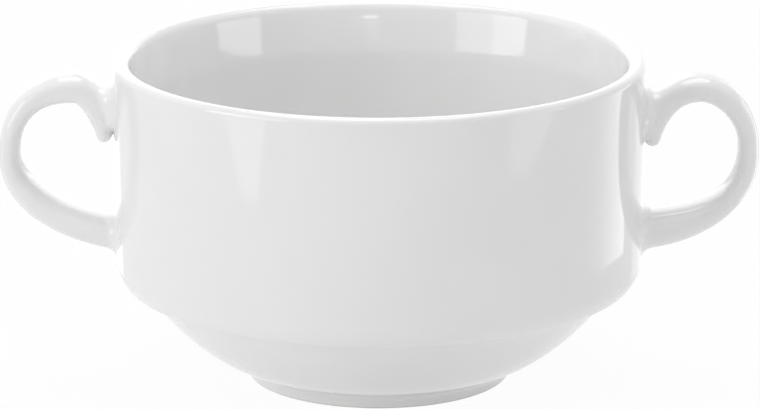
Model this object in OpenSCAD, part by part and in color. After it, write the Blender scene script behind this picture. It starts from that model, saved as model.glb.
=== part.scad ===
// Stackable bouillon cup with two handles, one fired piece of glazed porcelain.
// The axis of the cup is Z, the foot stands on Z = 0 and the handles lie along X.

/* [Rim and wall] */
// Outer diameter of the rim
rim_d = 105; // [92:0.5:125]
// Overall height, foot to rim
height = 64.5; // [58:0.5:80]
// Outer diameter low on the wall, where it starts to tuck in
wall_low_d = 103.9; // [90:0.1:120]
// Thickness of the wall at the rim
rim_t = 3.3; // [2.6:0.1:4]
// Thickness of the wall below the flare inside the rim
wall_t = 5.3; // [4.6:0.1:6.5]
// Height of the flare inside the rim
flare_h = 11.2; // [7:0.1:16]
// Radius between that flare and the wall below it
flare_r = 20; // [5:1:24]
// Radius of the two edges of the lip
lip_r = 1; // [0.4:0.1:1.2]

/* [Stacking step] */
// Height of the ledge that rests on the rim of the cup below
step_z = 19.9; // [16:0.1:26]
// Radius of the curve by which the wall tucks in above the ledge
tuck_r = 5.5; // [2:0.1:8]
// Angle from upright at which the wall meets the ledge
tuck_a = 45; // [20:1:60]
// Radius of the outer edge of the ledge
step_edge_r = 0.5; // [0.2:0.05:0.7]
// Width of the ledge
step_w = 2.8; // [1.8:0.1:4]
// Radius in the corner between the ledge and the bowl
step_fillet_r = 0.8; // [0.3:0.1:1]

/* [Bowl below the step] */
// Slope of the bowl at the ledge, from level
bowl_top_a = 55; // [48:1:75]
// Slope of the bowl at the foot ring, from level
bowl_foot_a = 22; // [12:1:28]
// How far the bowl keeps its slope at the ledge
bowl_top_pull = 9; // [6:0.5:11]
// How far the bowl keeps its slope at the foot ring
bowl_foot_pull = 7; // [4:0.5:10]

/* [Foot ring] */
// Diameter of the foot ring where it stands
foot_d = 51.8; // [44:0.2:60]
// Width of the face that it stands on
foot_t = 2.6; // [1.8:0.1:4]
// Height at which the bowl leaves the foot ring
foot_h = 3.7; // [3.2:0.1:6]
// Flare of the outside of the ring, from upright
foot_flare_a = 15; // [0:1:30]
// Distance from the edge of the foot to the start of the bowl
foot_cove_w = 3.6; // [3:0.1:5]
// Radius of the hollow between ring and bowl
foot_cove_r = 1.6; // [0.5:0.1:2]
// Radius of the edges of the face that it stands on
foot_edge_r = 0.6; // [0.2:0.1:0.8]
// Gap between the table and the base inside the ring
base_gap = 2.2; // [1.2:0.1:2.8]
// Radius between the ring and the base inside it
base_fillet_r = 1.2; // [0.5:0.1:1.8]

/* [Inside] */
// Thickness of the base
base_t = 4.5; // [3.4:0.1:6]
// Diameter of the level part of the floor
floor_d = 40; // [20:1:44]
// Height above the ledge at which the inside starts to round
inside_rise = 10; // [7:0.5:16]
// How far the inside keeps upright below that height
inside_wall_pull = 9; // [4:0.5:11]
// How far the floor keeps level beyond its level part
inside_floor_pull = 13; // [8:0.5:16]

/* [Handle centre line] */
// Distance from the axis to the outside of a handle
handle_reach = 75.1; // [70:0.1:85]
// Height of the outermost point of a handle
bow_z = 45.8; // [42:0.1:50]
// Distance from the wall to the highest point of a handle
crown_out = 10; // [8:0.1:13]
// Height of the centre line at its highest point
crown_z = 58.3; // [54:0.1:60]
// Height of the centre line where it leaves the wall
root_z = 28.9; // [27:0.1:34]
// Slope of a handle where it leaves the wall
root_a = 6; // [0:1:20]
// Distance from the wall to the middle of the finger rest
rest_out = 2.1; // [1.6:0.1:3]
// Height of the end of the centre line in the finger rest
rest_z = 48.8; // [45:0.1:51]
// How far a handle keeps its slope from the root
root_pull = 14; // [8:0.5:18]
// How far a handle keeps upright below the outermost point
bow_low_pull = 10.7; // [6:0.1:14]
// How far a handle keeps upright above the outermost point
bow_high_pull = 8.2; // [5:0.1:10]
// How far a handle keeps level outside its highest point
crown_out_pull = 4.4; // [2:0.1:7]
// How far a handle keeps level inside its highest point
crown_in_pull = 6.1; // [4:0.1:7]
// How far the finger rest keeps upright
rest_pull = 2.7; // [1.5:0.1:5]

/* [Handle section] */
// Thickness at the lower root
root_t = 6.9; // [5:0.1:8]
// Thickness in the lower bend
bend_t = 5.6; // [4:0.1:6.5]
// Thickness at the outermost point
bow_t = 4.3; // [3.5:0.1:6]
// Thickness at the highest point
crown_t = 5.6; // [4:0.1:6.5]
// Thickness of the finger rest
rest_t = 3.6; // [3:0.1:5]
// Width at the lower root
root_w = 11; // [8:0.2:14]
// Width at the outermost point
bow_w = 10; // [7:0.2:13]
// Width at the highest point
crown_w = 10; // [7:0.2:13]
// Width of the finger rest
rest_w = 8; // [6:0.2:11]
// Squareness of the section, where 2 is an oval
squareness = 2.6; // [2:0.1:4]

/* [Handle roots] */
// How far the hollow round a root stands out from the wall
root_blend = 3; // [1.5:0.1:4]
// How far the hollow round the lower root spreads sideways over the wall
root_spread = 3; // [1.5:0.1:5]
// How far the hollow round a root spreads up and down the wall
root_rise = 0.5; // [0.2:0.1:2]
// How far the hollow round the upper root spreads sideways over the wall
top_root_spread = 3; // [1.5:0.1:5]
// How far the hollow above the upper root climbs the wall
top_root_rise = 3; // [0.4:0.1:4]
// Height of the middle of the upper root in the wall
top_root_z = 52.1; // [51:0.1:55]
// Height of the upper root
top_root_h = 5.2; // [4:0.1:7]
// Slope of the neck above the finger rest, where it runs into the wall
top_root_a = 30; // [0:1:40]
// How far the neck keeps that slope
neck_pull = 4.5; // [2:0.5:6]

/* [Hidden] */
glaze = [0.93, 0.93, 0.92];

// Steps in a corner arc, in a curve of the body, in each stretch of a handle and in its neck
arc_n = 5;
curve_n = 12;
stretch_n = 13;
neck_n = 8;
// Points round a handle section, and rings in a root blend and in a round end
section_n = 20;
blend_n = 6;
end_n = 4;
// Turn of the last ring of a round end, just short of its tip
end_a = 84;
// Depth to which the thin ends of the neck and of a root blend lie inside the arm
blend_inset = 0.3;

rim_r = rim_d / 2;
wall_low_r = wall_low_d / 2;
tuck_z = step_z + tuck_r * sin(tuck_a);
edge_r = wall_low_r - tuck_r * (1 - cos(tuck_a));
bowl_top_r = edge_r - step_w;
foot_r = foot_d / 2;
bowl_foot_r = foot_r + foot_cove_w;
floor_z = base_gap + base_t;
inside_z = step_z + inside_rise;

// Outer radius of the wall at height z above the tuck
wall_taper = (rim_r - wall_low_r) / (height - tuck_z);
function wall_r(z) = wall_low_r + wall_taper * (z - tuck_z);

function unit(v) = v / norm(v);
function heading(a) = [cos(a), sin(a)];
function mix(a, b, t) = a + (b - a) * t;
function smooth_mix(a, b, t) = mix(a, b, t * t * (3 - 2 * t));
function turn(a) = a > 180 ? a - 360 : a < -180 ? a + 360 : a;

// Points of a cubic curve with control points p, without its first point where skip is 1
function curve(p, n, skip = 0) = [
    for (i = [skip:n]) let (t = i / n, s = 1 - t)
        s * s * s * p[0] + 3 * s * s * t * p[1] + 3 * s * t * t * p[2] + t * t * t * p[3]
];

// Arc of radius r that rounds the corner b between a and c
function corner(a, b, c, r) =
    let (
        u = unit(a - b),
        v = unit(c - b),
        half = acos(u * v) / 2,
        from = b + u * r / tan(half),
        to = b + v * r / tan(half),
        centre = b + unit(u + v) * r / sin(half),
        start = atan2(from[1] - centre[1], from[0] - centre[0]),
        sweep = turn(atan2(to[1] - centre[1], to[0] - centre[0]) - start)
    )
    [for (i = [0:arc_n]) centre + r * heading(start + sweep * i / arc_n)];

// Curves of the half section, as [radius, height]
bowl = curve([
    [bowl_foot_r, foot_h],
    [bowl_foot_r, foot_h] + bowl_foot_pull * heading(bowl_foot_a),
    [bowl_top_r, step_z] - bowl_top_pull * heading(bowl_top_a),
    [bowl_top_r, step_z],
], curve_n);
tuck = [
    for (i = [0:arc_n])
        [wall_low_r - tuck_r, tuck_z] + tuck_r * heading(tuck_a * (i / arc_n - 1))
];
inside_top = [wall_r(inside_z) - wall_t, inside_z];
floor_edge = [floor_d / 2, floor_z];
inside = curve([
    inside_top,
    inside_top - [0, inside_wall_pull],
    floor_edge + [inside_floor_pull, 0],
    floor_edge,
], curve_n);

// Corners of the half section, before they are rounded
base_corner = [foot_r - foot_t - base_gap * tan(foot_flare_a), base_gap];
foot_inner = [foot_r - foot_t, 0];
foot_outer = [foot_r, 0];
cove_z = (foot_h - foot_cove_w * tan(bowl_foot_a)) / (1 - tan(foot_flare_a) * tan(bowl_foot_a));
cove_corner = [foot_r + cove_z * tan(foot_flare_a), cove_z];
ledge_inner = [bowl_top_r, step_z];
ledge_outer = [edge_r, step_z];
lip_outer = [rim_r, height];
lip_inner = [rim_r - rim_t, height];
flare_low = [wall_r(height - flare_h) - wall_t, height - flare_h];

half_section = concat(
    [[0, base_gap]],
    corner([0, base_gap], base_corner, foot_inner, base_fillet_r),
    corner(base_corner, foot_inner, foot_outer, foot_edge_r),
    corner(foot_inner, foot_outer, cove_corner, foot_edge_r),
    corner(foot_outer, cove_corner, bowl[0], foot_cove_r),
    [for (i = [0:curve_n - 1]) bowl[i]],
    corner(bowl[curve_n - 1], ledge_inner, ledge_outer, step_fillet_r),
    corner(ledge_inner, ledge_outer, tuck[1], step_edge_r),
    [for (i = [1:arc_n]) tuck[i]],
    corner(tuck[arc_n], lip_outer, lip_inner, lip_r),
    corner(lip_outer, lip_inner, flare_low, lip_r),
    corner(lip_inner, flare_low, inside_top, flare_r),
    inside,
    [[0, floor_z]]
);

// Centre line of the right handle as [x, z], from the lower root to the finger rest
root_start = [wall_r(root_z) - wall_t / 2, root_z];
bow = [handle_reach - bow_t / 2, bow_z];
crown = [wall_r(crown_z) + crown_out, crown_z];
rest = [wall_r(rest_z) + rest_out, rest_z];
lower_arm = curve([
    root_start,
    root_start + root_pull * heading(root_a),
    bow - [0, bow_low_pull],
    bow,
], stretch_n);
outer_arm = curve([bow, bow + [0, bow_high_pull], crown + [crown_out_pull, 0], crown], stretch_n, 1);
upper_arm = curve([crown, crown - [crown_in_pull, 0], rest + [0, rest_pull], rest], stretch_n, 1);
centre_line = concat(lower_arm, outer_arm, upper_arm);

// Centre line of the neck, from the highest point of the handle into the wall
top_root = [wall_r(top_root_z) - wall_t / 2, top_root_z];
neck_line = curve([
    crown,
    crown - [crown_in_pull, 0],
    top_root + neck_pull * heading(top_root_a),
    top_root,
], neck_n);

// Thickness and width of the handle at each point of the centre line
function stretches(a, b, c, d, e) = concat(
    [for (i = [0:stretch_n]) let (t = i / stretch_n)
        t < 0.5 ? smooth_mix(a, b, 2 * t) : smooth_mix(b, c, 2 * t - 1)],
    [for (i = [1:stretch_n]) smooth_mix(c, d, i / stretch_n)],
    [for (i = [1:stretch_n]) smooth_mix(d, e, i / stretch_n)]
);
arm_t = stretches(root_t, bend_t, bow_t, crown_t, rest_t);
arm_w = stretches(root_w, (root_w + bow_w) / 2, bow_w, crown_w, rest_w);

function signed_power(v, p) = sign(v) * pow(abs(v), p);
// Point k of a handle section of thickness t and width w, as [along the thickness, across]
function section_point(k, t, w) =
    let (a = 360 * k / section_n)
    [t / 2 * signed_power(cos(a), 2 / squareness), w / 2 * signed_power(sin(a), 2 / squareness)];

// Ring of a handle section at point p, square to direction d of the XZ plane
function ring(p, d, t, w) = [
    for (k = [0:section_n - 1]) let (s = section_point(k, t, w))
        [p[0] + s[0] * d[1], s[1], p[1] - s[0] * d[0]]
];

// Direction of a line at its point i
function direction(line, i) = unit(line[min(i + 1, len(line) - 1)] - line[max(i - 1, 0)]);

// Rings of the arm, and of the round end that closes the finger rest
last = len(centre_line) - 1;
rest_end = direction(centre_line, last);
arm_rings = concat(
    [for (i = [0:last]) ring(centre_line[i], direction(centre_line, i), arm_t[i], arm_w[i])],
    [for (j = [1:end_n]) let (a = end_a * j / end_n)
        ring(rest + rest_end * rest_t / 2 * sin(a), rest_end,
             rest_t * cos(a), rest_w - rest_t * (1 - cos(a)))]
);

// Rings of the neck, which starts inside the arm
neck_rings = [
    for (i = [0:neck_n]) let (inset = blend_inset * (1 - i / neck_n))
        ring(neck_line[i], direction(neck_line, i),
             mix(crown_t, top_root_h * cos(top_root_a), i / neck_n) - 2 * inset,
             crown_w - 2 * inset)
];

// Growth of a hollow, 1 where it meets the wall at u = 0 and none at its thin end at u = 1
function hollow(u) = 1 - sqrt(1 - (1 - u) * (1 - u));

// Rings of the hollow blend of a root of height h and width w, whose line starts at height z in
// the middle of the wall and rises outwards by a degrees. It climbs the wall by rise. The first
// ring lies in the wall, and the hollow starts as deep as the wall curves away from its sides.
function blend_rings(z, a, h, w, spread, rise) =
    let (
        half = w / 2 + spread,
        depth = wall_r(z) - sqrt(wall_r(z) * wall_r(z) - half * half)
    )
    [for (j = [-1:blend_n])
        let (
            u = max(j, 0) / blend_n,
            out = j < 0 ? -wall_t / 2 : (depth + root_blend) * u - depth,
            up = rise * hollow(max(out, 0) / root_blend),
            down = root_rise * hollow(max(out, 0) / root_blend),
            inset = blend_inset * u
        )
        ring([wall_r(z) + out, z + (wall_t / 2 + out) * tan(a) + (up - down) / 2], [1, 0],
             h + up + down - 2 * inset, w + 2 * (spread * hollow(u) - inset))
    ];

// Closed skin over a stack of rings with the same number of points
module skin(rings) {
    m = len(rings[0]);
    n = len(rings);
    polyhedron(
        points = [for (r = rings) each r],
        faces = concat(
            [[for (k = [0:m - 1]) k]],
            [for (i = [0:n - 2]) for (k = [0:m - 1]) let (l = (k + 1) % m, a = i * m, b = a + m)
                each [[a + k, b + k, b + l], [a + k, b + l, a + l]]],
            [[for (k = [m - 1:-1:0]) (n - 1) * m + k]]
        )
    );
}

module body() {
    rotate_extrude($fn = 180) polygon(half_section);
}

module handle() {
    skin(arm_rings);
    skin(neck_rings);
    skin(blend_rings(top_root_z, top_root_a, top_root_h, crown_w, top_root_spread, top_root_rise));
    skin(blend_rings(root_z, root_a, root_t, root_w, root_spread, root_rise));
}

module cup() {
    color(glaze) union() {
        body();
        for (side = [0, 1]) mirror([side, 0, 0]) handle();
    }
}

cup();
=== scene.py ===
"""A handled bouillon cup in white glazed porcelain, fired in one piece, in a small studio."""

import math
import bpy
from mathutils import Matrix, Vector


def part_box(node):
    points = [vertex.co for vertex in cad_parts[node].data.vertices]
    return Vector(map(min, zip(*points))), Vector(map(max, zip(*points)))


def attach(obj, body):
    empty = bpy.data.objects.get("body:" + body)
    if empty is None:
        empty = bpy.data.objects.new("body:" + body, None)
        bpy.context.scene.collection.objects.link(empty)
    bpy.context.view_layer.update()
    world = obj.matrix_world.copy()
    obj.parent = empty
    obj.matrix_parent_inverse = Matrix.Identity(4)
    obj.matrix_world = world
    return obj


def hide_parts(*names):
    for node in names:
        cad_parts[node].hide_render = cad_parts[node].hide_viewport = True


bl_info = {
    "name": "Bouillon cup",
    "version": (1, 0, 0),
    "blender": (4, 5, 0),
    "location": "View3D > Sidebar > Cup",
    "description": "Builds a glazed porcelain bouillon cup, with its studio and camera",
    "category": "Add Mesh",
}

import bpy
import numpy as np
from mathutils import Vector

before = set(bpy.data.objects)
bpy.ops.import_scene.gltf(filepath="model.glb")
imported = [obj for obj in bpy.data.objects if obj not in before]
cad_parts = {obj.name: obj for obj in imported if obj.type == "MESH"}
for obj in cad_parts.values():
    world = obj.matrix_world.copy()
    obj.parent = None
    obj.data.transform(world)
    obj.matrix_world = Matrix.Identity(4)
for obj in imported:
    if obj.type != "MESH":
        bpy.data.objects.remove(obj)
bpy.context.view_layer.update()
cup_low, cup_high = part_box("cup")

# Steps of the turned body: round the axis, in the arc of an edge and along a curve
TURN_STEPS = 256
ARC_STEPS = 8
CURVE_STEPS = 40
# Longest straight step of its section
LONGEST_STEP = 0.0025
# Cell of the net that a handle's surface is found with
NET_CELL = 0.00042
# How often the points of the net are moved onto the surface, and the least square of the
# field's slope that a move is worked out with
SETTLE_STEPS = 4
LEAST_SQUARE = 0.1
# Samples along each stretch of a handle's centre line, and steps that refine the nearest one
LINE_SAMPLES = 24
LINE_STEPS = 4
# Least norm in a handle's section, which keeps the centre line from a division by zero
LEAST_NORM = 1e-6
# Step by which slopes of a handle's field are measured
SLOPE_STEP = 0.00002
# A handle's own patch of wall: how far it lies under the body's wall, how deep it goes, half
# its width, and its clearance from the tuck, which is doubled under the rim
PATCH_DEPTH = 0.00003
PATCH_THICKNESS = 0.002
PATCH_HALF_WIDTH = 0.0155
PATCH_CLEARANCE = 0.0012
# Room between the outside of a handle and the box of the part
BOX_MARGIN = 0.0001
# Straight steps of a curved card
CARD_STEPS = 24
# Point that the softboxes are turned to
LAMP_AIM = (0, 0, 0.04)
# Half the side of the square floor
FLOOR_HALF = 2.0


def length(name, description, default):
    """A size in metres."""
    return bpy.props.FloatProperty(
        name=name, description=description, default=default, min=0, unit="LENGTH", precision=5
    )


def angle(name, description, default):
    """An angle, given in degrees and kept in radians."""
    return bpy.props.FloatProperty(
        name=name, description=description, default=math.radians(default), subtype="ANGLE"
    )


def amount(name, description, default, highest=10):
    """A number without a unit."""
    return bpy.props.FloatProperty(
        name=name, description=description, default=default, min=0, max=highest
    )


def colour(name, description, default):
    """A colour in linear light."""
    return bpy.props.FloatVectorProperty(
        name=name, description=description, default=default, min=0, max=1, size=3,
        subtype="COLOR",
    )


class CupBody(bpy.types.PropertyGroup):
    """Sizes of the turned body."""

    rim_d: length("Rim", "Outer diameter of the rim", cup_high.y - cup_low.y)
    height: length("Height", "Overall height, foot to rim", cup_high.z)
    wall_low_d: length("Low wall", "Outer diameter low on the wall", 0.1039)
    rim_t: length("Rim thickness", "Thickness of the wall at the rim", 0.0033)
    wall_t: length("Wall thickness", "Thickness below the flare inside the rim", 0.0053)
    flare_h: length("Flare", "Height of the flare inside the rim", 0.0102)
    flare_r: length("Flare radius", "Radius between that flare and the wall below it", 0.012)
    lip_r: length("Outer lip", "Radius of the outer edge of the lip", 0.0013)
    lip_inner_r: length("Inner lip", "Radius of the inner edge of the lip", 0.0021)
    step_z: length("Step height", "Height of the ledge for stacking", 0.0199)
    tuck_r: length("Tuck", "Radius of the curve above the ledge", 0.0055)
    tuck_a: angle("Tuck angle", "Angle from upright at which the wall meets the ledge", 45)
    step_edge_r: length("Step edge", "Radius of the ledge's outer edge", 0.0005)
    step_w: length("Step width", "Width of the ledge", 0.0028)
    step_fillet_r: length("Step corner", "Radius between the ledge and the bowl", 0.0008)
    bowl_top_a: angle("Bowl top", "Slope of the bowl at the ledge", 55)
    bowl_foot_a: angle("Bowl foot", "Slope of the bowl at the foot ring", 22)
    bowl_top_pull: length("Bowl top reach", "How far the bowl keeps its top slope", 0.009)
    bowl_foot_pull: length("Bowl foot reach", "How far the bowl keeps its foot slope", 0.007)
    foot_d: length("Foot", "Diameter of the foot ring where it stands", 0.0518)
    foot_t: length("Foot width", "Width of the face that it stands on", 0.0026)
    foot_h: length("Foot height", "Height at which the bowl leaves the foot ring", 0.0037)
    foot_flare_a: angle("Foot flare", "Flare of the outside of the foot ring", 15)
    foot_cove_w: length("Cove", "Distance from the edge of the foot to the bowl", 0.0036)
    foot_cove_r: length("Cove radius", "Radius of the hollow between ring and bowl", 0.0036)
    foot_edge_r: length("Foot edge", "Radius of the edges of the standing face", 0.0006)
    base_gap: length("Base gap", "Gap between the table and the base", 0.0022)
    base_fillet_r: length("Base corner", "Radius between the ring and the base", 0.0012)
    base_t: length("Base thickness", "Thickness of the base", 0.0045)
    floor_d: length("Floor", "Diameter of the level part of the floor", 0.04)
    inside_rise: length("Inside rise", "Height above the ledge where the inside rounds", 0.01)
    inside_wall_pull: length("Inside wall reach", "How far the inside keeps upright", 0.009)
    inside_floor_pull: length("Inside floor reach", "How far the floor keeps level", 0.013)


class HandleSizes(bpy.types.PropertyGroup):
    """Sizes that both handles share."""

    reach: length("Reach", "Distance from the axis to the outside of a handle",
                  cup_high.x - BOX_MARGIN)
    crown_z: length("Crown height", "Height of the centre line at its highest", 0.0583)
    root_w: length("Root width", "Width at the lower root", 0.011)
    bow_w: length("Bow width", "Width at the outermost point", 0.01)
    crown_w: length("Crown width", "Width at the highest point", 0.01)
    rest_w: length("Rest width", "Width of the finger rest", 0.0072)
    squareness: amount("Squareness", "Squareness of the section, where 2 is an oval", 2.6)
    fillet: length("Fillet", "Reach of the hollow round the lower root", 0.0026)
    top_fillet: length("Upper fillet", "Reach of the hollow round the upper root", 0.0038)
    rest_fillet: length("Rest fillet", "Reach of the hollow behind the finger rest", 0.0002)
    neck_fillet: length("Neck fillet", "Reach of the hollow between neck and arm", 0.0016)
    neck_a: angle("Neck slope", "Slope of the neck where it runs into the wall", 30)
    neck_pull: length("Neck reach", "How far the neck keeps that slope", 0.0045)
    neck_inset: length("Neck inset", "How deep the neck starts inside the arm", 0.0019)


class RightHandle(bpy.types.PropertyGroup):
    """Shape of the right handle, which was bent by hand like the left one."""

    root_z: length("Root height", "Height at which it leaves the wall", 0.029)
    root_a: angle("Root slope", "Slope where it leaves the wall", 4)
    bow_z: length("Bow height", "Height of its outermost point", 0.0468)
    crown_out: length("Crown", "Distance from the wall to its highest point", 0.011)
    rest_out: length("Rest", "Distance from the wall to the finger rest", 0.0017)
    rest_z: length("Rest height", "End of the centre line in the finger rest", 0.0482)
    rest_a: angle("Rest slant", "Slant of the finger rest towards the wall", 16)
    root_pull: length("Root reach", "How far it keeps its slope from the root", 0.0253)
    bow_low_pull: length("Lower bow reach", "How far it keeps upright below", 0.0027)
    bow_high_pull: length("Upper bow reach", "How far it keeps upright above", 0.0059)
    crown_out_pull: length("Outer crown reach", "How far it keeps level outside", 0.0045)
    crown_in_pull: length("Inner crown reach", "How far it keeps level inside", 0.007)
    rest_pull: length("Rest reach", "How far the finger rest keeps its slant", 0.0028)
    root_t: length("Root thickness", "Thickness at the lower root", 0.0074)
    bend_t: length("Bend thickness", "Thickness in the lower bend", 0.0044)
    bow_t: length("Bow thickness", "Thickness at the outermost point", 0.0042)
    crown_t: length("Crown thickness", "Thickness at the highest point", 0.0056)
    rest_t: length("Rest thickness", "Thickness of the finger rest", 0.0034)
    neck_z: length("Neck height", "Height of the neck's middle inside the wall", 0.0521)
    neck_h: length("Neck size", "Height of the neck at the wall", 0.0052)
    gap_z: length("Gap height", "Top of the gap behind the finger rest", 0.048)


class LeftHandle(bpy.types.PropertyGroup):
    """Shape of the left handle, a little lower in the bend than the right one."""

    root_z: length("Root height", "Height at which it leaves the wall", 0.0284)
    root_a: angle("Root slope", "Slope where it leaves the wall", 5)
    bow_z: length("Bow height", "Height of its outermost point", 0.0445)
    crown_out: length("Crown", "Distance from the wall to its highest point", 0.0078)
    rest_out: length("Rest", "Distance from the wall to the finger rest", 0.002)
    rest_z: length("Rest height", "End of the centre line in the finger rest", 0.0489)
    rest_a: angle("Rest slant", "Slant of the finger rest towards the wall", 16)
    root_pull: length("Root reach", "How far it keeps its slope from the root", 0.0131)
    bow_low_pull: length("Lower bow reach", "How far it keeps upright below", 0.0079)
    bow_high_pull: length("Upper bow reach", "How far it keeps upright above", 0.0133)
    crown_out_pull: length("Outer crown reach", "How far it keeps level outside", 0.002)
    crown_in_pull: length("Inner crown reach", "How far it keeps level inside", 0.0037)
    rest_pull: length("Rest reach", "How far the finger rest keeps its slant", 0.0024)
    root_t: length("Root thickness", "Thickness at the lower root", 0.0062)
    bend_t: length("Bend thickness", "Thickness in the lower bend", 0.006)
    bow_t: length("Bow thickness", "Thickness at the outermost point", 0.0043)
    crown_t: length("Crown thickness", "Thickness at the highest point", 0.0062)
    rest_t: length("Rest thickness", "Thickness of the finger rest", 0.0033)
    neck_z: length("Neck height", "Height of the neck's middle inside the wall", 0.0535)
    neck_h: length("Neck size", "Height of the neck at the wall", 0.0044)
    gap_z: length("Gap height", "Top of the gap behind the finger rest", 0.0494)


class Glaze(bpy.types.PropertyGroup):
    """Look of the porcelain."""

    glaze: colour("Glaze", "Colour of the glazed porcelain", (0.885, 0.885, 0.885))
    thin_glaze: colour("Thin glaze", "Colour where the glaze is thin", (0.87, 0.87, 0.867))
    thin_from: amount("Thin from", "Value of the noise at which the glaze thins", 0.35, 1)
    thin_to: amount("Thin to", "Value of the noise at which it is thinnest", 0.65, 1)
    bare: colour("Bare porcelain", "Colour of the unglazed standing face", (0.72, 0.7, 0.66))
    gloss: amount("Gloss", "Roughness of the glaze", 0.07, 1)
    gloss_spread: amount("Gloss spread", "How much that roughness varies", 0.03, 1)
    bare_gloss: amount("Bare roughness", "Roughness of the standing face", 0.6, 1)
    bare_low: length("Bare height", "Height up to which the foot is bare", 0.0002)
    bare_high: length("Glazed height", "Height from which the foot is fully glazed", 0.0005)
    ripple: length("Ripple", "Depth of the slow ripple of the glaze", 0.00002)
    peel: length("Peel", "Depth of the fine unevenness of the glaze", 0.0000012)
    refraction: amount("Refraction", "Index of refraction of the glaze", 1.52, 3)
    tone_scale: amount("Tone scale", "Fineness of the changes of tone", 45, 2000)
    gloss_scale: amount("Gloss scale", "Fineness of the changes of gloss", 160, 2000)
    ripple_scale: amount("Ripple scale", "Fineness of the slow ripple", 70, 2000)
    peel_scale: amount("Peel scale", "Fineness of the fine unevenness", 900, 2000)


class Studio(bpy.types.PropertyGroup):
    """Light, floor and camera."""

    sky: amount("Sky", "Strength of the even light from all round", 0.42)
    floor: colour("Floor", "Colour of the floor", (0.86, 0.86, 0.86))
    floor_white: amount("Floor white", "Share of the floor seen as plain white", 0.95, 1)
    floor_glow: amount("Floor glow", "The same share in the light that the cup gets", 0.18, 1)
    camera_distance: length("Distance", "Distance of the camera from the axis", 0.862)
    camera_height: angle("Elevation", "Angle by which the camera looks down", 15.08)
    aim_z: length("Aim", "Height that the camera aims at", 0.03421)
    lens: amount("Lens", "Focal length in millimetres", 205.86, 400)
    shift: amount("Shift", "Sideways shift of the picture", 0.00145, 1)


def point(r, z):
    """A point of a half section, by its radius and height."""
    return np.array([r, z])


def heading(turn):
    """Unit vector at an angle from the first axis."""
    return np.array([math.cos(turn), math.sin(turn)])


def unit(v):
    """The vector at length 1."""
    return v / np.linalg.norm(v)


def mix(a, b, t):
    """a at 0, b at 1 and evenly between."""
    return a + (b - a) * t


def smooth_mix(a, b, t):
    """a at 0 and b at 1, with a smooth start and end."""
    return mix(a, b, t * t * (3 - 2 * t))


def smooth_step(value, low, high):
    """0 below low and 1 above high, with a smooth rise between."""
    return smooth_mix(0, 1, np.clip((value - low) / (high - low), 0, 1))


def smooth_min(a, b, reach):
    """The lesser of two distances, rounded where they are nearly the same."""
    near = np.maximum(reach - np.abs(a - b), 0)
    return np.minimum(a, b) - near * near / (4 * reach)


def bezier(p, t):
    """Points of a cubic curve with control points p, at each t."""
    t = np.asarray(t)[..., None]
    s = 1 - t
    return s**3 * p[0] + 3 * s * s * t * p[1] + 3 * s * t * t * p[2] + t**3 * p[3]


def bezier_slope(p, t):
    """First derivative of the curve at each t."""
    t = np.asarray(t)[..., None]
    s = 1 - t
    return 3 * (s * s * (p[1] - p[0]) + 2 * s * t * (p[2] - p[1]) + t * t * (p[3] - p[2]))


def bezier_bend(p, t):
    """Second derivative of the curve at each t."""
    t = np.asarray(t)[..., None]
    return 6 * ((1 - t) * (p[2] - 2 * p[1] + p[0]) + t * (p[3] - 2 * p[2] + p[1]))


def curve(*control_points):
    """Points along a cubic curve, as a list."""
    return list(bezier(control_points, np.linspace(0, 1, CURVE_STEPS + 1)))


def corner(a, b, c, radius):
    """Arc that rounds the corner b between a and c."""
    u, v = unit(a - b), unit(c - b)
    half = math.acos(u @ v) / 2
    centre = b + unit(u + v) * radius / math.sin(half)
    start = b + u * radius / math.tan(half) - centre
    end = b + v * radius / math.tan(half) - centre
    first = math.atan2(start[1], start[0])
    sweep = math.remainder(math.atan2(end[1], end[0]) - first, math.tau)
    return [centre + radius * heading(first + sweep * i / ARC_STEPS) for i in range(ARC_STEPS + 1)]


def new_object(name, vertices, faces):
    """A smooth mesh object, linked to the scene."""
    mesh = bpy.data.meshes.new(name)
    mesh.from_pydata(vertices, [], faces)
    mesh.shade_smooth()
    made = bpy.data.objects.new(name, mesh)
    bpy.context.scene.collection.objects.link(made)
    return made


class Wall:
    """The straight, slightly tapered wall above the tuck."""

    def __init__(self, body):
        self.low_r = body.wall_low_d / 2
        self.rim_r = body.rim_d / 2
        self.low_z = body.step_z + body.tuck_r * math.sin(body.tuck_a)
        self.rim_z = body.height
        self.thickness = body.wall_t
        self.taper = (self.rim_r - self.low_r) / (self.rim_z - self.low_z)

    def radius(self, z):
        """Radius of its outside at height z."""
        return self.low_r + self.taper * (z - self.low_z)

    def middle(self, z):
        """Point in the middle of its thickness at height z."""
        return point(self.radius(z) - self.thickness / 2, z)

    def inner(self, z):
        """Point on its inside at height z."""
        return point(self.radius(z) - self.thickness, z)


def foot_outline(body, bowl_foot):
    """Base and foot ring, from the axis to the hollow under the bowl."""
    foot_r = body.foot_d / 2
    flare, rise = math.tan(body.foot_flare_a), math.tan(body.bowl_foot_a)
    cove_z = (body.foot_h - body.foot_cove_w * rise) / (1 - flare * rise)
    base = point(0, body.base_gap)
    base_corner = point(foot_r - body.foot_t - body.base_gap * flare, body.base_gap)
    foot_inner, foot_outer = point(foot_r - body.foot_t, 0), point(foot_r, 0)
    cove_corner = point(foot_r + cove_z * flare, cove_z)
    return [
        base,
        *corner(base, base_corner, foot_inner, body.base_fillet_r),
        *corner(base_corner, foot_inner, foot_outer, body.foot_edge_r),
        *corner(foot_inner, foot_outer, cove_corner, body.foot_edge_r),
        *corner(foot_outer, cove_corner, bowl_foot, body.foot_cove_r),
    ]


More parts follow.
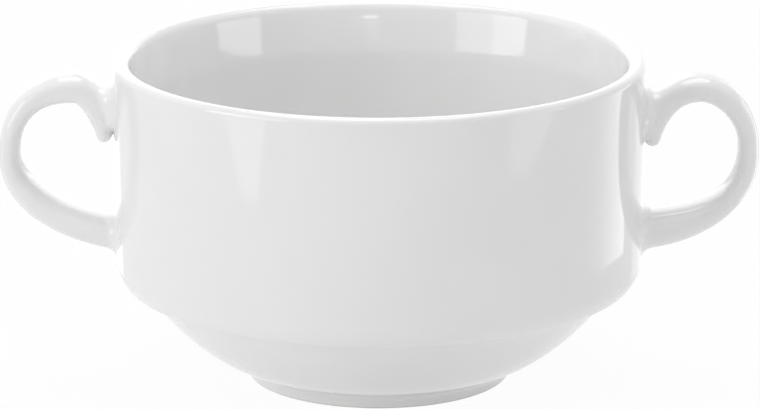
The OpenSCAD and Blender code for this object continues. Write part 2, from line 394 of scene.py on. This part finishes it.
def bowl_and_step(body, wall, bowl_foot):
    """Outside of the bowl, ledge for stacking, and tuck up to the wall."""
    edge_r = wall.low_r - body.tuck_r * (1 - math.cos(body.tuck_a))
    ledge_outer = point(edge_r, body.step_z)
    ledge_inner = point(edge_r - body.step_w, body.step_z)
    bowl = curve(
        bowl_foot,
        bowl_foot + body.bowl_foot_pull * heading(body.bowl_foot_a),
        ledge_inner - body.bowl_top_pull * heading(body.bowl_top_a),
        ledge_inner,
    )
    tuck_centre = point(wall.low_r - body.tuck_r, wall.low_z)
    tuck = [
        tuck_centre + body.tuck_r * heading(body.tuck_a * (i / ARC_STEPS - 1))
        for i in range(ARC_STEPS + 1)
    ]
    return [
        *bowl[:-1],
        *corner(bowl[-2], ledge_inner, ledge_outer, body.step_fillet_r),
        *corner(ledge_inner, ledge_outer, tuck[1], body.step_edge_r),
        *tuck[1:],
    ]


def lip_and_flare(body, wall, tuck_top, inside_top):
    """Lip of the rim, and the flare from it down to the inside of the wall."""
    lip_outer = point(wall.rim_r, wall.rim_z)
    lip_inner = point(wall.rim_r - body.rim_t, wall.rim_z)
    flare_low = wall.inner(wall.rim_z - body.flare_h)
    return [
        *corner(tuck_top, lip_outer, lip_inner, body.lip_r),
        *corner(lip_outer, lip_inner, flare_low, body.lip_inner_r),
        *corner(lip_inner, flare_low, inside_top, body.flare_r),
    ]


def half_section(body):
    """Outline of the body from the axis under the base round to the axis on the floor inside."""
    wall = Wall(body)
    bowl_foot = point(body.foot_d / 2 + body.foot_cove_w, body.foot_h)
    outside = foot_outline(body, bowl_foot) + bowl_and_step(body, wall, bowl_foot)
    inside_top = wall.inner(body.step_z + body.inside_rise)
    floor_z = body.base_gap + body.base_t
    floor_edge = point(body.floor_d / 2, floor_z)
    inside = curve(
        inside_top,
        inside_top - point(0, body.inside_wall_pull),
        floor_edge + point(body.inside_floor_pull, 0),
        floor_edge,
    )
    return [
        *outside,
        *lip_and_flare(body, wall, outside[-1], inside_top),
        *inside,
        point(0, floor_z),
    ]


def spaced(outline, longest):
    """The outline with points added where a straight run is longer than that."""
    points = [outline[0]]
    for a, b in zip(outline, outline[1:]):
        steps = max(1, math.ceil(np.linalg.norm(b - a) / longest))
        points += [mix(a, b, i / steps) for i in range(1, steps + 1)]
    return points


def turned(name, outline):
    """The solid that an outline makes when it turns round the axis, which both its ends lie on."""
    rings = np.array(outline[1:-1])
    turns = np.arange(TURN_STEPS) * math.tau / TURN_STEPS
    around = np.stack([np.cos(turns), np.sin(turns)], axis=1)
    flat = rings[:, None, :1] * around[None]
    high = np.broadcast_to(rings[:, None, 1:], (len(rings), TURN_STEPS, 1))
    vertices = np.concatenate([flat, high], axis=2).reshape(-1, 3).tolist()
    under, floor = len(vertices), len(vertices) + 1
    vertices += [[0, 0, outline[0][1]], [0, 0, outline[-1][1]]]
    top = (len(rings) - 1) * TURN_STEPS
    faces = []
    for k in range(TURN_STEPS):
        n = (k + 1) % TURN_STEPS
        faces.append((under, n, k))
        faces.append((floor, top + k, top + n))
        for start in range(0, top, TURN_STEPS):
            faces.append((start + k, start + n, start + TURN_STEPS + n, start + TURN_STEPS + k))
    return new_object(name, vertices, faces)


class Handle:
    """One handle with its roots, as a field of distances from its surface, negative inside."""

    def __init__(self, sizes, shape, wall, side):
        self.sizes, self.shape, self.wall, self.side = sizes, shape, wall, side
        up, out = np.array([0, 1]), np.array([1, 0])
        root, neck_end = wall.middle(shape.root_z), wall.middle(shape.neck_z)
        bow = point(sizes.reach - shape.bow_t / 2, shape.bow_z)
        crown = point(wall.radius(sizes.crown_z) + shape.crown_out, sizes.crown_z)
        rest = point(wall.radius(shape.rest_z) + shape.rest_out, shape.rest_z)
        slant = heading(math.pi / 2 - shape.rest_a)
        level = crown - shape.crown_in_pull * out
        self.arm_lines = [
            [root, root + shape.root_pull * heading(shape.root_a),
             bow - shape.bow_low_pull * up, bow],
            [bow, bow + shape.bow_high_pull * up, crown + shape.crown_out_pull * out, crown],
            [crown, level, rest + shape.rest_pull * slant, rest],
        ]
        self.neck_line = [
            crown, level, neck_end + sizes.neck_pull * heading(sizes.neck_a), neck_end,
        ]

    def arm_size(self, k, t):
        """Thickness and width along stretch k of the arm."""
        shape, sizes = self.shape, self.sizes
        widths = [sizes.root_w, sizes.bow_w, sizes.crown_w, sizes.rest_w]
        width = smooth_mix(widths[k], widths[k + 1], t)
        if k == 0:
            near_root = smooth_mix(shape.root_t, shape.bend_t, 2 * t)
            near_bow = smooth_mix(shape.bend_t, shape.bow_t, 2 * t - 1)
            return np.where(t < 0.5, near_root, near_bow), width
        thicknesses = [shape.bow_t, shape.crown_t, shape.rest_t]
        return smooth_mix(thicknesses[k - 1], thicknesses[k], t), width

    def neck_size(self, _, t):
        """Thickness and width along the neck."""
        inset = self.sizes.neck_inset * (1 - t)
        end_t = self.shape.neck_h * math.cos(self.sizes.neck_a)
        return mix(self.shape.crown_t, end_t, t) - 2 * inset, self.sizes.crown_w - 2 * inset

    def nearest(self, p, lines, size):
        """For points p of the handle's plane: across and past the lines, thickness and width."""
        best = np.full(len(p), np.inf)
        found = np.zeros((4, len(p)))
        samples = np.linspace(0, 1, LINE_SAMPLES + 1)
        for k, line in enumerate(lines):
            far = ((p[:, None] - bezier(line, samples)[None]) ** 2).sum(2)
            t = samples[far.argmin(1)]
            for _ in range(LINE_STEPS):
                off, slope = bezier(line, t) - p, bezier_slope(line, t)
                down, speed = (off * slope).sum(1), (slope * slope).sum(1)
                bend = speed + (off * bezier_bend(line, t)).sum(1)
                t = np.clip(t - down / np.maximum(bend, speed / 4), 0, 1)
            off, slope = p - bezier(line, t), bezier_slope(line, t)
            along = slope / np.linalg.norm(slope, axis=1)[:, None]
            distance = (off * off).sum(1)
            here = distance < best
            best[here] = distance[here]
            across = off[:, 0] * along[:, 1] - off[:, 1] * along[:, 0]
            values = (across, (off * along).sum(1), *size(k, t))
            for row, value in zip(found, values):
                row[here] = value[here]
        return found

    def section(self, across, sideways, half_t, half_w):
        """Distance from a rounded, squarish section of that half thickness and half width."""
        n = self.sizes.squareness
        u, v = np.abs(across) / half_t, np.abs(sideways) / half_w
        norm = np.maximum((u**n + v**n) ** (1 / n), LEAST_NORM)
        slope = np.hypot(u ** (n - 1) / half_t, v ** (n - 1) / half_w) * norm ** (1 - n)
        return (norm - 1) / np.maximum(slope, 1 / (half_t + half_w))

    def sweep(self, lines, size, x, y, z):
        """Distance from a section swept along lines, with round ends."""
        flat = np.stack(np.broadcast_arrays(x, z), axis=-1)
        rows = self.nearest(flat.reshape(-1, 2), lines, size)
        across, past, t, w = (row.reshape(flat.shape[:-1]) for row in rows)
        return self.section(np.hypot(across, past), y, t / 2, w / 2)

    def reach_at(self, z):
        """Reach of the hollow between handle and wall at height z."""
        sizes, shape = self.sizes, self.shape
        over_root = smooth_step(z, shape.root_z + shape.root_t, shape.rest_z - sizes.fillet)
        over_gap = smooth_step(z, shape.gap_z - sizes.fillet / 2, shape.gap_z + sizes.fillet)
        return mix(mix(sizes.fillet, sizes.rest_fillet, over_root), sizes.top_fillet, over_gap)

    def field(self, x, y, z, patch_depth=0.0):
        """Distance from the handle blended into a wall that lies patch_depth too deep."""
        out = np.hypot(x, y) - self.wall.radius(z) + patch_depth
        x = self.side * x
        arm = self.sweep(self.arm_lines, self.arm_size, x, y, z)
        neck = self.sweep([self.neck_line], self.neck_size, x, y, z)
        handle = smooth_min(arm, neck, self.sizes.neck_fillet)
        return smooth_min(out, handle, self.reach_at(z))

    def patch_field(self, x, y, z):
        """Distance from the handle blended into its own patch of wall, without the edges."""
        return self.field(x, y, z, PATCH_DEPTH)

    def solid_field(self, x, y, z):
        """The same, with the patch cut to a slab that ends inside the body's own wall."""
        wall = self.wall
        depth = wall.radius(z) - PATCH_THICKNESS - np.hypot(x, y)
        sides = np.abs(y) - PATCH_HALF_WIDTH
        bottom, top = wall.low_z + PATCH_CLEARANCE - z, z - wall.rim_z + 2 * PATCH_CLEARANCE
        cut = np.maximum(np.maximum(depth, sides), np.maximum(bottom, top))
        return np.maximum(self.patch_field(x, y, z), cut)

    def box(self):
        """Corners of a box that holds the solid."""
        spare = 2 * NET_CELL
        low_r = self.wall.low_r
        near = (low_r - PATCH_THICKNESS) * math.cos(PATCH_HALF_WIDTH / low_r)
        inner = self.side * (near - spare - PATCH_THICKNESS)
        outer = self.side * (self.sizes.reach + spare)
        y = PATCH_HALF_WIDTH + spare
        return (min(inner, outer), -y, self.wall.low_z), (max(inner, outer), y, self.wall.rim_z)


def slope_of(field, p):
    """Gradient of a field at points p."""
    rows = []
    for axis in range(3):
        step = np.zeros(3)
        step[axis] = SLOPE_STEP
        rows.append(field(*(p + step).T) - field(*(p - step).T))
    return np.stack(rows, axis=1) / (2 * SLOPE_STEP)


def net(field, low, high, cell):
    """Closed net of four-sided faces over field = 0, with a point in each cell that it crosses."""
    axes = [np.arange(a, b + cell, cell) for a, b in zip(low, high)]
    value = field(axes[0][:, None, None], axes[1][None, :, None], axes[2][None, None, :])
    shape = value.shape
    total, count = np.zeros(shape + (3,)), np.zeros(shape)
    crossings = []
    for axis in range(3):
        ends = [slice(None)] * 3
        starts = list(ends)
        starts[axis], ends[axis] = slice(None, -1), slice(1, None)
        a, b = value[tuple(starts)], value[tuple(ends)]
        at = np.argwhere((a < 0) != (b < 0))
        index = tuple(at.T)
        crossing = at.astype(float)
        crossing[:, axis] += a[index] / (a[index] - b[index])
        ring = []
        others = [i for i in range(3) if i != axis]
        for first, second in ((0, 0), (1, 0), (1, 1), (0, 1)):
            cells = at.copy()
            cells[:, others[0]] -= first
            cells[:, others[1]] -= second
            np.add.at(total, tuple(cells.T), crossing)
            np.add.at(count, tuple(cells.T), 1)
            ring.append(cells)
        crossings.append((ring, (a[index] < 0) != (axis == 1)))
    number = np.full(shape, -1)
    used = count > 0
    number[used] = np.arange(used.sum())
    points = total[used] / count[used][:, None] * cell + np.array([a[0] for a in axes])
    faces = []
    for ring, outwards in crossings:
        quads = np.stack([number[tuple(cells.T)] for cells in ring], axis=1)
        faces.append(np.where(outwards[:, None], quads[:, ::-1], quads))
    return points, np.concatenate(faces)


def handle_solid(name, handle):
    """The handle with its patch of wall as a closed mesh, its points moved onto the surface."""
    points, faces = net(handle.solid_field, *handle.box(), NET_CELL)
    distance = handle.patch_field(*points.T)
    on_edges = handle.solid_field(*points.T) > distance + NET_CELL / 4
    moving = (np.abs(distance) < NET_CELL) & ~on_edges
    for _ in range(SETTLE_STEPS):
        p = points[moving]
        slope = slope_of(handle.patch_field, p)
        step = handle.patch_field(*p.T) / np.maximum((slope * slope).sum(1), LEAST_SQUARE)
        points[moving] = p - np.clip(step, -NET_CELL, NET_CELL)[:, None] * slope
    return new_object(name, points.tolist(), faces.tolist())


def joined(name, body, handles):
    """Body and handles as one mesh, with the hidden parts gone."""
    for handle in handles:
        union = body.modifiers.new("Union", "BOOLEAN")
        union.operation, union.solver, union.object = "UNION", "EXACT", handle
    graph = bpy.context.evaluated_depsgraph_get()
    mesh = bpy.data.meshes.new_from_object(body.evaluated_get(graph))
    if len(mesh.polygons) <= len(body.data.polygons):
        raise RuntimeError("The handles could not be joined to the body")
    mesh.name = name
    for old in (body, *handles):
        bpy.data.objects.remove(old)
    piece = bpy.data.objects.new(name, mesh)
    bpy.context.scene.collection.objects.link(piece)
    return piece


def set_normals(piece, wall, handles):
    """Gives the wall and the handles the normals of their true surface."""
    mesh = piece.data
    mesh.shade_smooth()
    p = np.zeros(len(mesh.vertices) * 3)
    mesh.vertices.foreach_get("co", p)
    p = p.reshape(-1, 3)
    out = np.hypot(p[:, 0], p[:, 1]) - wall.radius(p[:, 2])
    clear = (p[:, 2] > wall.low_z) & (p[:, 2] < wall.rim_z - PATCH_CLEARANCE)
    shown = clear & (out > -wall.thickness / 4)
    normals = np.zeros_like(p)
    for handle in handles:
        chosen = shown & (p[:, 0] * handle.side > 0)
        slope = slope_of(handle.field, p[chosen])
        normals[chosen] = slope / np.linalg.norm(slope, axis=1)[:, None]
    mesh.normals_split_custom_set_from_vertices(normals.tolist())


class Wire:
    """An output of a node. Arithmetic on it adds Math nodes."""

    def __init__(self, shader, socket):
        self.shader, self.socket = shader, socket

    def __add__(self, other):
        return self.shader.math("ADD", self, other)

    def __sub__(self, other):
        return self.shader.math("SUBTRACT", self, other)

    def __rsub__(self, other):
        return self.shader.math("SUBTRACT", other, self)

    def __mul__(self, other):
        return self.shader.math("MULTIPLY", self, other)

    __radd__ = __add__
    __rmul__ = __mul__


class Shader:
    """The node tree of a material or a world."""

    def __init__(self, owner):
        owner.use_nodes = True
        self.tree = owner.node_tree
        self.tree.nodes.clear()

    def node(self, kind, settings, inputs, output=0):
        """Adds a node, sets it, fills its sockets and gives one of its outputs."""
        made = self.tree.nodes.new("ShaderNode" + kind)
        for name, value in settings.items():
            setattr(made, name, value)
        for name, value in inputs.items():
            if isinstance(value, Wire):
                self.tree.links.new(value.socket, made.inputs[name])
            else:
                made.inputs[name].default_value = value
        return Wire(self, made.outputs[output]) if made.outputs else None

    def math(self, operation, *values):
        """A Math node on its values, in their order."""
        return self.node("Math", {"operation": operation}, dict(enumerate(values)))

    def blend(self, share, a, b):
        """Colour between a and b."""
        return self.node("Mix", {"data_type": "RGBA"}, {0: share, 6: a, 7: b}, 2)

    def noise(self, place, scale, detail):
        """Soft noise, of more octaves with more detail."""
        return self.node("TexNoise", {}, {"Vector": place, "Scale": scale, "Detail": detail})

    def step(self, value, low, high):
        """0 below low and 1 above high, with a smooth rise between."""
        return self.node(
            "MapRange", {"interpolation_type": "SMOOTHSTEP"},
            {"Value": value, "From Min": low, "From Max": high},
        )

    def bump(self, height, depth, **under):
        """Normal of a surface that the height moves by that depth, over the one under it."""
        return self.node(
            "Bump", {}, {"Strength": 1.0, "Distance": depth, "Height": height, **under}
        )

    def emission(self, strength):
        """White light of that strength."""
        return self.node("Emission", {}, {"Color": rgba((1, 1, 1)), "Strength": strength})

    def layered(self, share, a, b):
        """Surface a where the share is 0, and b where it is 1."""
        return self.node("MixShader", {}, {0: share, 1: a, 2: b})

    def finish(self, kind, surface):
        """Ends the tree with an output node of that kind."""
        self.node(kind, {}, {"Surface": surface})


def rgba(shade):
    """The colour as a colour socket takes it."""
    return (*shade, 1)


def bare_share(shader, place, glaze, body):
    """1 on the standing face, which is wiped bare before firing, and 0 elsewhere."""
    x, y, z = (shader.node("SeparateXYZ", {}, {"Vector": place}, axis) for axis in "XYZ")
    radius = shader.math("SQRT", x * x + y * y)
    ring_r = body.foot_d / 2 - body.foot_t
    on_ring = shader.step(radius, ring_r - body.foot_edge_r, ring_r)
    return (1 - shader.step(z, glaze.bare_low, glaze.bare_high)) * on_ring


def porcelain(glaze, body):
    """White porcelain under a clear gloss glaze, with the standing face wiped bare."""
    material = bpy.data.materials.new("glazed_porcelain")
    shader = Shader(material)
    place = shader.node("TexCoord", {}, {}, "Object")
    bare = bare_share(shader, place, glaze, body)
    tones = shader.noise(place, glaze.tone_scale, detail=2)
    thinness = shader.step(tones, glaze.thin_from, glaze.thin_to)
    glazed = shader.blend(thinness, rgba(glaze.glaze), rgba(glaze.thin_glaze))
    patches = shader.noise(place, glaze.gloss_scale, detail=3)
    gloss = glaze.gloss + glaze.gloss_spread * (patches - 0.5)
    slow = shader.noise(place, glaze.ripple_scale, detail=1)
    fine = shader.noise(place, glaze.peel_scale, detail=2)
    ripple = shader.bump(slow, glaze.ripple)
    peel = shader.bump(fine, glaze.peel, Normal=ripple)
    surface = shader.node("BsdfPrincipled", {}, {
        "Base Color": shader.blend(bare, glazed, rgba(glaze.bare)),
        "Roughness": gloss + bare * (glaze.bare_gloss - glaze.gloss),
        "Normal": peel,
        "IOR": glaze.refraction,
    })
    shader.finish("OutputMaterial", surface)
    return material


def background_ray(shader):
    """1 for a ray that comes from the camera or by a reflection or refraction."""
    camera, glossy, transmission = (
        shader.node("LightPath", {}, {}, name)
        for name in ("Is Camera Ray", "Is Glossy Ray", "Is Transmission Ray")
    )
    return shader.math("MINIMUM", camera + glossy + transmission, 1)


def paper(studio):
    """Floor of white paper, which the camera and the glaze see as white under its own shadow."""
    material = bpy.data.materials.new("white_paper")
    shader = Shader(material)
    lit = shader.node("BsdfDiffuse", {}, {"Color": rgba(studio.floor)})
    share = mix(studio.floor_glow, studio.floor_white, background_ray(shader))
    shader.finish("OutputMaterial", shader.layered(share, lit, shader.emission(1)))
    return material


def card_glow(name, radiance):
    """Light of a card, from plain white to its radiance by the glow stored in its mesh."""
    material = bpy.data.materials.new(name)
    shader = Shader(material)
    glow = shader.node("Attribute", {"attribute_name": "glow"}, {}, "Fac")
    light = shader.layered(glow, shader.emission(1), shader.emission(radiance))
    shader.finish("OutputMaterial", light)
    return material


def make_world(studio):
    """Even light from all round, which the camera and the glaze see as white."""
    world = bpy.data.worlds.new("studio")
    shader = Shader(world)
    strength = mix(studio.sky, 1, background_ray(shader))
    sky = shader.node("Background", {}, {"Color": rgba((1, 1, 1)), "Strength": strength})
    shader.finish("OutputWorld", sky)
    bpy.context.scene.world = world


class Softbox:
    """A rectangular lamp, placed by the directions in which the cup sees its edges."""

    def __init__(self, name, turns, heights, distance, radiance):
        self.name, self.distance, self.radiance = name, distance, radiance
        self.turns, self.heights = [[math.radians(a) for a in pair] for pair in (turns, heights)]

    def place(self):
        """Adds the lamp to the scene."""
        turn, height = sum(self.turns) / 2, sum(self.heights) / 2
        toward = Vector((math.sin(turn) * math.cos(height), -math.cos(turn) * math.cos(height),
                         math.sin(height)))
        size = [2 * self.distance * math.tan((b - a) / 2) for a, b in (self.turns, self.heights)]
        light = bpy.data.lights.new(self.name, "AREA")
        light.shape = "RECTANGLE"
        light.size, light.size_y = size
        light.energy = self.radiance * math.pi * size[0] * size[1]
        softbox = bpy.data.objects.new(self.name, light)
        softbox.location = Vector(LAMP_AIM) + self.distance * toward
        softbox.rotation_euler = toward.to_track_quat("Z", "Y").to_euler()
        bpy.context.scene.collection.objects.link(softbox)


# Softboxes round the cup: angles from the camera towards the right, angles above the floor,
# distance and radiance
SOFTBOXES = (
    Softbox("left_softbox", (-76, -58), (2, 30), 1.1, 3.2),
    Softbox("left_front_softbox", (-58, -39), (2, 30), 1.1, 1.9),
    Softbox("right_softbox", (60, 84), (2, 17), 1.1, 2.4),
    Softbox("front_softbox", (-25, 25), (38, 74), 1.1, 0.5),
    Softbox("top_softbox", (-20, 20), (84, 124), 1.1, 2.8),
    Softbox("backdrop", (150, 210), (1, 35), 1.4, 0.8),
    Softbox("camera_lamp", (0.3, 7.3), (12.7, 14.4), 1.3, 5),
)


class Card:
    """An upright, curved card near the cup, which only reflections show.

    It lies between two turns at its top and two at its foot. Its light rises from plain white
    at the first turn to its radiance, which it has beyond a share of its width called rise.
    """

    def __init__(self, name, top_turns, foot_turns, heights, radius, radiance, rise=0):
        self.name, self.heights, self.radius = name, heights, radius
        self.turns = [[math.radians(a) for a in pair] for pair in (foot_turns, top_turns)]
        self.radiance, self.rise = radiance, rise

    def place(self):
        """Adds the card to the scene."""
        shares = np.linspace(0, 1, CARD_STEPS + 1)
        vertices = [(self.radius * math.sin(a), -self.radius * math.cos(a), z)
                    for z, turns in zip(self.heights, self.turns) for a in mix(*turns, shares)]
        faces = [(i, i + 1, i + CARD_STEPS + 2, i + CARD_STEPS + 1) for i in range(CARD_STEPS)]
        card = new_object(self.name, vertices, faces)
        glow = smooth_step(shares, 0, self.rise) if self.rise else np.ones_like(shares)
        stored = card.data.attributes.new("glow", "FLOAT", "POINT")
        stored.data.foreach_set("value", np.tile(glow, 2))
        card.data.materials.append(card_glow(self.name, self.radiance))
        card.visible_camera = card.visible_diffuse = card.visible_shadow = False


# Cards near the cup: angles from the camera towards the right at top and foot, heights of foot
# and top, radius and radiance
CARDS = (
    Card("left_back_card", (-119, -140), (-119, -140), (0.001, 0.16), 0.095, 1.6, rise=0.2),
    Card("right_back_card", (115, 140), (115, 140), (0.001, 0.16), 0.095, 1.2),
    Card("right_card", (74, 104), (74, 104), (0.012, 0.066), 0.095, 2.3, rise=0.9),
    Card("left_reflector", (-61.7, -38.5), (-50, -44), (0.0175, 0.045), 0.15, 2),
    Card("right_reflector", (47.6, 74.4), (47.6, 56), (0.0225, 0.045), 0.15, 1.8),
)


def lay_floor(studio):
    """A square floor of white paper under the cup."""
    half = FLOOR_HALF
    corners = [(-half, -half, 0), (half, -half, 0), (half, half, 0), (-half, half, 0)]
    floor = new_object("floor", corners, [(0, 1, 2, 3)])
    floor.data.materials.append(paper(studio))


def set_camera(studio):
    """The camera in front of the cup, looking down at it a little."""
    scene = bpy.context.scene
    camera = bpy.data.objects.new("camera", bpy.data.cameras.new("camera"))
    camera.data.lens, camera.data.shift_x = studio.lens, studio.shift
    down = studio.camera_height
    away = studio.camera_distance * Vector((0, -math.cos(down), math.sin(down)))
    camera.location = Vector((0, 0, studio.aim_z)) + away
    camera.rotation_euler = (math.pi / 2 - down, 0, 0)
    scene.collection.objects.link(camera)
    scene.camera = camera


def both_handles(scene):
    """The fields of the right and the left handle."""
    wall = Wall(scene.cup_body)
    return {
        "right_handle": Handle(scene.cup_handles, scene.cup_right, wall, 1),
        "left_handle": Handle(scene.cup_handles, scene.cup_left, wall, -1),
    }


class CUP_OT_body(bpy.types.Operator):
    """Turn the body with its rim, stacking step and foot ring"""

    bl_idname = "cup.body"
    bl_label = "Turn the body"

    def execute(self, context):
        turned("turned_body", spaced(half_section(context.scene.cup_body), LONGEST_STEP))
        return {"FINISHED"}


class CUP_OT_handles(bpy.types.Operator):
    """Shape the two handles with their roots and finger rests"""

    bl_idname = "cup.handles"
    bl_label = "Shape the handles"

    def execute(self, context):
        for name, handle in both_handles(context.scene).items():
            handle_solid(name, handle)
        return {"FINISHED"}


class CUP_OT_join(bpy.types.Operator):
    """Join body and handles, and glaze the cup"""

    bl_idname = "cup.join"
    bl_label = "Join and glaze"

    def execute(self, context):
        scene = context.scene
        handles = both_handles(scene)
        piece = joined("porcelain_cup", bpy.data.objects["turned_body"],
                       [bpy.data.objects[name] for name in handles])
        set_normals(piece, Wall(scene.cup_body), handles.values())
        piece.data.materials.clear()
        piece.data.materials.append(porcelain(scene.cup_glaze, scene.cup_body))
        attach(piece, "root")
        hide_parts("cup")
        return {"FINISHED"}


class CUP_OT_stage(bpy.types.Operator):
    """Lay the floor, and set the lights and the camera"""

    bl_idname = "cup.stage"
    bl_label = "Set the studio"

    def execute(self, context):
        studio = context.scene.cup_studio
        lay_floor(studio)
        make_world(studio)
        for light in (*SOFTBOXES, *CARDS):
            light.place()
        set_camera(studio)
        context.scene.view_settings.view_transform = "Standard"
        return {"FINISHED"}


class CUP_PT_panel(bpy.types.Panel):
    """Steps that build the cup, and its sizes and colours"""

    bl_idname = "CUP_PT_panel"
    bl_label = "Bouillon cup"
    bl_space_type = "VIEW_3D"
    bl_region_type = "UI"
    bl_category = "Cup"

    def draw(self, context):
        for step in STEPS:
            self.layout.operator(step.bl_idname)
        for name, group in GROUPS.items():
            box = self.layout.box()
            box.label(text=group.__doc__)
            for value in group.__annotations__:
                box.prop(getattr(context.scene, name), value)


GROUPS = {
    "cup_body": CupBody,
    "cup_handles": HandleSizes,
    "cup_right": RightHandle,
    "cup_left": LeftHandle,
    "cup_glaze": Glaze,
    "cup_studio": Studio,
}
STEPS = (CUP_OT_body, CUP_OT_handles, CUP_OT_join, CUP_OT_stage)


def register():
    for kind in (*GROUPS.values(), *STEPS, CUP_PT_panel):
        bpy.utils.register_class(kind)
    for name, group in GROUPS.items():
        setattr(bpy.types.Scene, name, bpy.props.PointerProperty(type=group))


def unregister():
    for name in GROUPS:
        delattr(bpy.types.Scene, name)
    for kind in (CUP_PT_panel, *reversed(STEPS), *reversed(GROUPS.values())):
        bpy.utils.unregister_class(kind)


def main():
    register()
    bpy.ops.cup.body()
    bpy.ops.cup.handles()
    bpy.ops.cup.join()
    bpy.ops.cup.stage()


if __name__ == "__main__":
    main()
